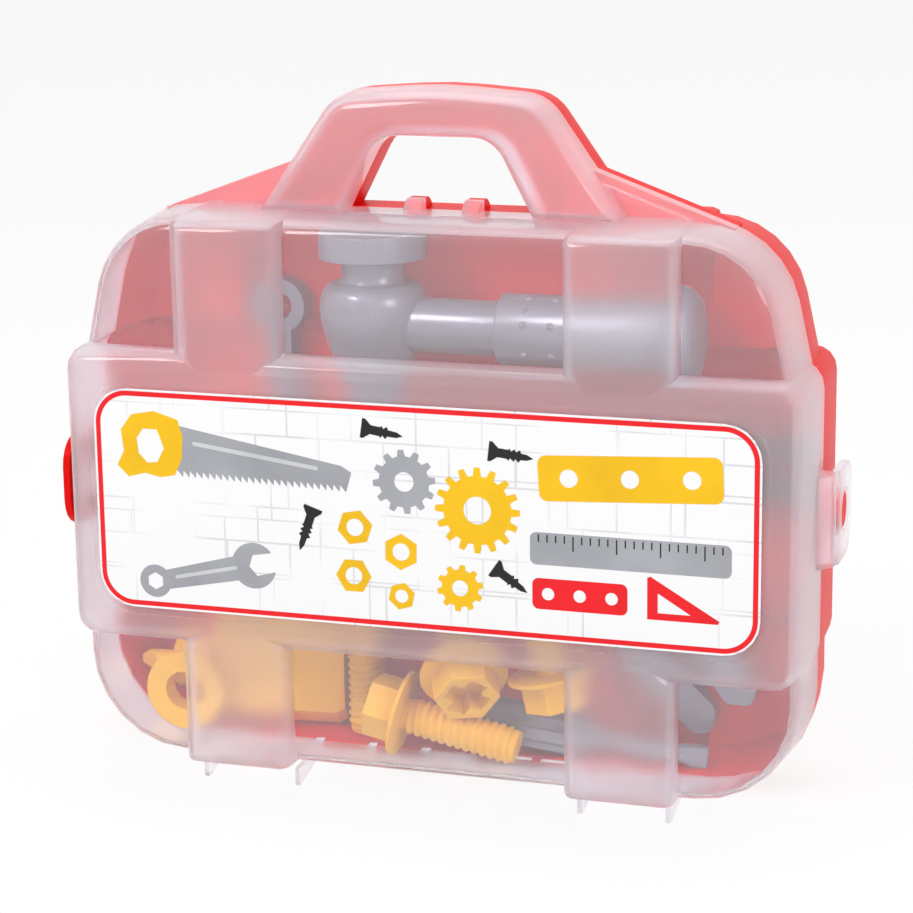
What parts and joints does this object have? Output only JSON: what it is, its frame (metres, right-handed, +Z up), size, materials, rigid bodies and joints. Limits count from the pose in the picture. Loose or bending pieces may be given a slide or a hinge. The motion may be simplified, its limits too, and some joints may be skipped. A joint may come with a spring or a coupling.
{
  "type": "toy tool box",
  "caption": "Toy tool case in two hinged plastic halves, frosted clear in front and red behind, with carrying handle, snap ears and toy tools, bolts and nuts inside.",
  "frame": {"origin": "centre of the closed case at the height of the fins that it stands on, on the parting plane of its two halves", "axes": "+X to the right as the label is read, +Y towards the red rear half, +Z up towards the handle"},
  "size_m": [0.366, 0.1012, 0.3262],
  "materials": {
    "clear_plastic": "frosted, lets light through",
    "red_plastic": "satin, moulded",
    "label_print": "printed self-adhesive sheet",
    "grey_plastic": "satin, silver-grey",
    "orange_plastic": "satin, moulded",
    "yellow_plastic": "satin, moulded",
    "black_plastic": "satin, moulded"
  },
  "bodies": {
    "rear_case": {"rear_shell": "red_plastic", "hammer_head": "grey_plastic", "hammer_handle": "grey_plastic", "drill_housing_front": "orange_plastic", "drill_housing_rear": "orange_plastic", "bolt_1": "yellow_plastic", "bolt_2": "yellow_plastic", "bolt_3": "yellow_plastic", "bolt_4": "yellow_plastic", "nut_1": "yellow_plastic", "nut_2": "yellow_plastic", "nut_3": "yellow_plastic", "nut_4": "yellow_plastic", "strip_long": "grey_plastic", "strip_short_1": "red_plastic", "strip_short_2": "red_plastic", "split_pin_1": "black_plastic", "split_pin_2": "black_plastic", "split_pin_3": "black_plastic", "split_pin_4": "black_plastic", "wrench_body": "grey_plastic", "screwdriver_grip": "grey_plastic", "screwdriver_blade": "grey_plastic", "pliers_rear_lever": "grey_plastic", "pliers_pin": "grey_plastic"},
    "front_case": {"front_shell": "clear_plastic", "label": "label_print"},
    "right_latch": {"right_latch_ear": "clear_plastic"},
    "left_latch": {"left_latch_ear": "red_plastic"},
    "drill_spindle": {"drill_chuck": "orange_plastic", "drill_bit": "orange_plastic"},
    "wrench_slider": {"wrench_jaw": "grey_plastic"},
    "wrench_screw": {"wrench_worm": "grey_plastic"},
    "pliers_lever": {"pliers_front_lever": "grey_plastic"}
  },
  "joints": [
    {"name": "lid_hinge", "type": "hinge", "parent": "rear_case", "child": "front_case", "pos_m": [0, 0, 0.0037], "axis": [1, 0, 0], "range_deg": [0, 175], "deforming": ["right_latch_ear", "left_latch_ear"]},
    {"name": "right_latch_snap", "type": "hinge", "parent": "front_case", "child": "right_latch", "pos_m": [0.1813, 0.0017, 0.1355], "axis": [0, 0, -1], "range_deg": [0, 35], "stiffness_Nm_per_rad": 0.05},
    {"name": "left_latch_snap", "type": "hinge", "parent": "rear_case", "child": "left_latch", "pos_m": [-0.1813, -0.0017, 0.1355], "axis": [0, 0, -1], "range_deg": [0, 35], "stiffness_Nm_per_rad": 0.05},
    {"name": "drill_spin", "type": "hinge", "parent": "rear_case", "child": "drill_spindle", "pos_m": [-0.12615, 0.0154, 0.0362], "axis": [-0.9945, -0.1045, 0], "continuous": true},
    {"name": "wrench_worm_turn", "type": "hinge", "parent": "rear_case", "child": "wrench_screw", "pos_m": [-0.107, 0.0414, 0.10875], "axis": [1, 0, 0], "range_deg": [-778, 1138]},
    {"name": "wrench_jaw_slide", "type": "slide", "parent": "rear_case", "child": "wrench_slider", "axis": [1, 0, 0], "range_m": [-0.0054, 0.0079]},
    {"name": "pliers_pivot", "type": "hinge", "parent": "rear_case", "child": "pliers_lever", "pos_m": [0.06, 0.0347, 0.1085], "axis": [0, -1, 0], "range_deg": [0, 20]}
  ],
  "couplings": [
    {"joint": "wrench_worm_turn", "follows": "wrench_jaw_slide", "rad_per_m": 2513.3}
  ]
}
